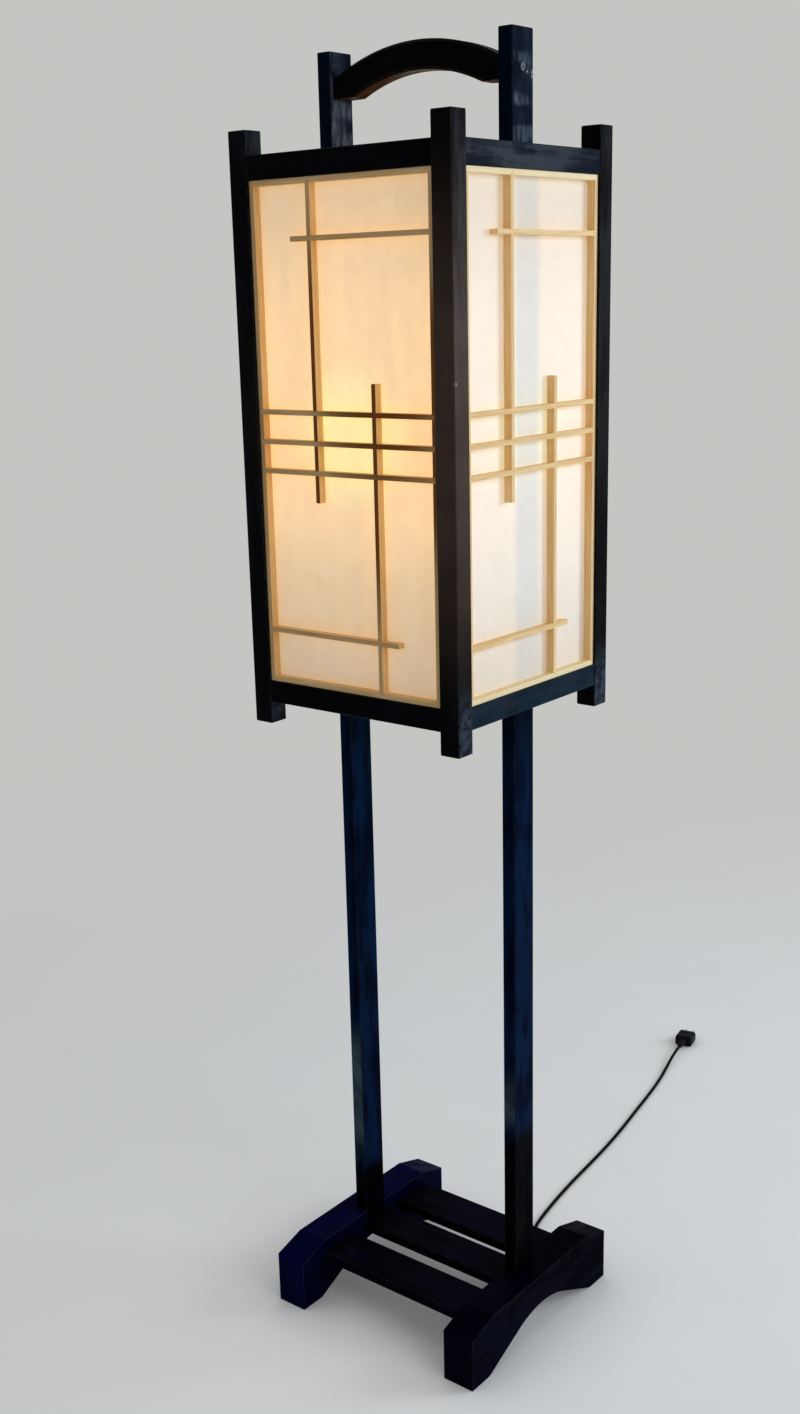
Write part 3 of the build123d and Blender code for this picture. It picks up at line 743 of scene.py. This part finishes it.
def washiPaper(side, values=washiValues):
    material, tree, shader = newMaterial("washi " + side)
    place = objectPlace(tree)
    pulp = noise(tree, place, *values["pulp"])
    warp = noise(tree, place, *values["strandWarp"], output="Color")
    warped = vectorMath(tree, "MULTIPLY_ADD", 0, warp, place, place)
    strands = addNode(
        tree, "ShaderNodeTexVoronoi", {"Vector": warped, "Scale": values["strandScale"]},
        feature="DISTANCE_TO_EDGE",
    ).outputs["Distance"]
    strand = remap(tree, strands, 0.0, values["strandWidth"], 1.0, 0.0)
    folds = noise(tree, stretchedPlace(tree, place, "z", values["foldStretch"]), *values["folds"])
    mottle = remap(tree, pulp, *values["pulpFrom"], 0.0, values["pulpShare"])
    mottle = add(tree, mottle, multiply(tree, strand, values["strandShare"]))
    colour = blendColours(tree, mottle, values["paper"], values["fibre"])
    if side == "right":
        # painted shade towards the ends of this sheet
        _, _, middle = boxOf("screen_right_paper")
        out = calculate(tree, "ABSOLUTE", calculate(tree, "SUBTRACT", split(tree, place)["Z"], middle.z))
        endShade = remap(tree, out, *values["endShadeFrom"], 0.0, values["endShadeShare"], True)
        colour = blendColours(tree, endShade, colour, values["endShade"])
    glow, level = paperGlow(tree, side, place, mottle, folds)
    setSockets(tree, shader, {
        "Base Color": colour,
        "Roughness": values["roughness"],
        "Specular IOR Level": values["specular"],
        "Emission Color": glow,
        "Emission Strength": level,
    })
    setBump(tree, shader, add(tree, mottle, folds), *values["bump"])
    return material


# Moulded, turned or pressed parts: a fine speckle in colour, gloss and height
plainValues = {
    "metallic": 0.0,
    "specular": 0.5,
    "scale": 900,
    "spread": 0.25,
    "bump": 0.2,
    "bumpDepth": 0.1,
    "speckle": (3, 0.6),
    "smear": (4, 0.6),
    "smearSize": 18,
    "tonesFrom": (0.35, 0.65),
    "glossFrom": (0.3, 0.7),
    "glossShares": (0.85, 1.2),
}
plainFinishes = {
    "frosted glass": {
        "colour": (0.93, 0.92, 0.9), "roughness": 0.35, "scale": 1200, "spread": 0.06, "bump": 0.1,
    },
    "spun aluminium": {"colour": (0.72, 0.72, 0.73), "roughness": 0.3, "metallic": 1.0},
    "brass": {"colour": (0.72, 0.5, 0.2), "roughness": 0.3, "metallic": 1.0},
    "blackened screw steel": {"colour": (0.045, 0.045, 0.05), "roughness": 0.45, "metallic": 1.0},
    "insulating card": {"colour": (0.09, 0.07, 0.05), "roughness": 0.8, "scale": 400},
    "phenolic": {"colour": (0.02, 0.014, 0.012), "roughness": 0.3},
    "lead sheath": {
        "colour": (0.0015, 0.0015, 0.002), "roughness": 0.5, "specular": 0.05,
        "scale": 1400, "spread": 0.3, "bump": 0.3,
    },
    "clip plastic": {"colour": (0.014, 0.014, 0.016), "roughness": 0.35},
    "plug plastic": {
        "colour": (0.002, 0.002, 0.006), "roughness": 0.5, "specular": 0.1,
        "scale": 1600, "spread": 0.3, "bump": 0.35,
    },
}


def plainFinish(name, own):
    values = {**plainValues, **own}
    material, tree, shader = newMaterial(name)
    place = objectPlace(tree)
    speckle = noise(tree, place, values["scale"], *values["speckle"])
    smear = noise(tree, place, values["scale"] / values["smearSize"], *values["smear"])
    darker = [part * (1 - values["spread"]) for part in values["colour"]]
    share = remap(tree, average(tree, speckle, smear), *values["tonesFrom"])
    gloss = [values["roughness"] * part for part in values["glossShares"]]
    setSockets(tree, shader, {
        "Base Color": blendColours(tree, share, values["colour"], darker),
        "Roughness": remap(tree, smear, *values["glossFrom"], *gloss),
        "Metallic": values["metallic"],
        "Specular IOR Level": values["specular"],
    })
    setBump(tree, shader, speckle, values["bump"], values["bumpDepth"])
    return material


# The lit bulb, weakest at its neck
bulbValues = {
    "glow": (1.0, 0.72, 0.42),
    "strength": 13.0,
    "neckShare": 0.25,
}


def lightBulb(material, values):
    tree = material.node_tree
    low, _, middle = boxOf("bulb_glass")
    height = split(tree, objectPlace(tree))["Z"]
    levels = (values["neckShare"] * values["strength"], values["strength"])
    setSockets(tree, tree.nodes["Principled BSDF"], {
        "Emission Color": (*values["glow"], 1),
        "Emission Strength": remap(tree, height, low.z, middle.z, *levels, True),
    })


timberGrains = {
    "post": "z", "frontRail": "x", "sideRail": "y", "handle": "x", "upright": "z", "foot": "y", "slat": "x",
}
timbers = {part: blackWood(part, grain) for part, grain in timberGrains.items()}
sides = ("front", "right", "rear", "left")
strips = ("stiles", "rails", "uprights", "bars")
latticeWoods = {(side, part): latticeWood(side, part) for side in sides for part in strips}
papers = {side: washiPaper(side) for side in sides}
finishes = {name: plainFinish(name, own) for name, own in plainFinishes.items()}
lightBulb(finishes["frosted glass"], bulbValues)
print("materials mixed")

# Which finish or timber the single nodes take
nodeFinishes = {
    "bulb_glass": "frosted glass",
    "bulb_cap": "spun aluminium",
    "holder_cap": "brass",
    "holder_shell": "brass",
    "screw_shell": "brass",
    "nipple": "brass",
    "nipple_nuts": "brass",
    "plug_blades": "brass",
    "holder_insulator": "insulating card",
    "holder_core": "phenolic",
    "switch_knob": "phenolic",
    "upright_screws": "blackened screw steel",
    "slat_screws": "blackened screw steel",
    "lead_fixed": "lead sheath",
    "lead_free": "lead sheath",
    "lead_clips": "clip plastic",
    "plug_body": "plug plastic",
}
nodeTimbers = {
    "carry_handle": "handle",
    "lamp_bar": "frontRail",
    "screw_plugs": "slat",
}


def finishFor(name):
    if name in nodeFinishes:
        return finishes[nodeFinishes[name]]
    if name in nodeTimbers:
        return timbers[nodeTimbers[name]]
    kind, *rest = name.split("_")
    if kind == "screen":
        side, part = rest
        return papers[side] if part == "paper" else latticeWoods[side, part]
    if kind == "rail":
        return timbers["frontRail" if name.endswith(("front", "rear")) else "sideRail"]
    return timbers[kind]


def paintNodes():
    for name, node in nodes.items():
        material = finishFor(name)
        if not node.material_slots:
            node.data.materials.append(material)
        for slot in node.material_slots:
            slot.material = material
    lead.data.materials.append(finishes["lead sheath"])
    plug.data.materials.append(finishes["plug plastic"])


paintNodes()
print("nodes finished")

# Pale floor that fades into the pale surround, in metres
stageValues = {
    "surround": (0.56, 0.565, 0.545),
    "floor": (0.86, 0.865, 0.86),
    "radius": 9,
    "rimSteps": 96,
    "clouds": (3.5, 5, 0.6),
    "cloudsFrom": (0.35, 0.65),
    "cloudShade": 0.95,
    "roughness": 0.75,
    "specular": 0.2,
    "nearGlow": (0.345, 0.35, 0.355),
    "fade": (0.7, 2.8),
    "lift": 0.33,
    "shadeReach": 0.15,
    "shadeFrom": (0.4, 0.95),
    "shadeShares": (0.3, 1.0),
}


def seenDirectly(tree):
    rays = addNode(tree, "ShaderNodeLightPath", {}).outputs
    seen = calculate(tree, "MAXIMUM", rays["Is Camera Ray"], rays["Is Glossy Ray"])
    return calculate(tree, "MAXIMUM", seen, rays["Is Transmission Ray"])


def mixShaders(tree, share, first, second, output):
    mixed = addNode(tree, "ShaderNodeMixShader", {0: share, 1: first.outputs[0], 2: second.outputs[0]})
    setSockets(tree, tree.nodes[output], {"Surface": mixed.outputs[0]})


def makeFloor(values):
    mesh = bmesh.new()
    bmesh.ops.create_circle(mesh, cap_ends=True, segments=values["rimSteps"], radius=values["radius"])
    data = bpy.data.meshes.new("floor")
    mesh.to_mesh(data)
    mesh.free()
    floor = addObject("floor", data)
    material, tree, shader = newMaterial("pale floor")
    place = objectPlace(tree)
    clouds = remap(tree, noise(tree, place, *values["clouds"]), *values["cloudsFrom"])
    darker = [part * values["cloudShade"] for part in values["floor"]]
    setSockets(tree, shader, {
        "Base Color": blendColours(tree, clouds, values["floor"], darker),
        "Roughness": values["roughness"],
        "Specular IOR Level": values["specular"],
    })
    fade = remap(tree, vectorMath(tree, "LENGTH", "Value", place), *values["fade"], 0.0, 1.0, True)
    glow = blendColours(tree, fade, values["nearGlow"], values["surround"])
    share = remap(tree, fade, 0.0, 1.0, values["lift"], 1.0)
    # the glow dims close under and beside the base, as daylight does
    sky = addNode(tree, "ShaderNodeAmbientOcclusion", {"Distance": values["shadeReach"]}).outputs["AO"]
    dim = remap(tree, sky, *values["shadeFrom"], *values["shadeShares"])
    strength = multiply(tree, calculate(tree, "DIVIDE", 1.0, share), dim)
    surround = addNode(tree, "ShaderNodeEmission", {"Color": glow, "Strength": strength})
    mixShaders(tree, multiply(tree, share, seenDirectly(tree)), shader, surround, "Material Output")
    data.materials.append(material)


# Soft daylight from the right, a cool strip behind it and a weak fill from the front left
lightValues = {
    "world": (0.17, 0.175, 0.18),
    "key": {"place": (3.0, -0.35, 2.1), "size": (1.8, 2.4), "power": 24, "colour": (0.95, 0.98, 1.0)},
    "strip": {"place": (2.3, 2.2, 1.65), "size": (1.2, 1.5), "power": 54, "colour": (0.8, 0.9, 1.0)},
    "fill": {"place": (-1.3, -3.0, 2.2), "size": (2.4, 2.0), "power": 9, "colour": (1.0, 1.0, 1.0)},
    "aim": (0, 0, 0.95),
}


def makeLights(values, stage):
    for name in ("key", "strip", "fill"):
        lamp = values[name]
        data = bpy.data.lights.new(name, "AREA")
        data.shape = "RECTANGLE"
        data.size, data.size_y = lamp["size"]
        data.energy = lamp["power"]
        data.color = lamp["colour"]
        light = addObject(name, data)
        light.location = lamp["place"]
        aim = Vector(values["aim"]) - Vector(lamp["place"])
        light.rotation_euler = aim.to_track_quat("-Z", "Y").to_euler()
    world = bpy.data.worlds.new("studio")
    bpy.context.scene.world = world
    world.use_nodes = True
    tree = world.node_tree
    lit = tree.nodes["Background"]
    setSockets(tree, lit, {"Color": (*values["world"], 1)})
    seen = addNode(tree, "ShaderNodeBackground", {"Color": (*stage["surround"], 1)})
    mixShaders(tree, seenDirectly(tree), lit, seen, "World Output")


makeFloor(stageValues)
makeLights(lightValues, stageValues)
bpy.context.scene.view_settings.view_transform = "Standard"
print("stage and lights set")
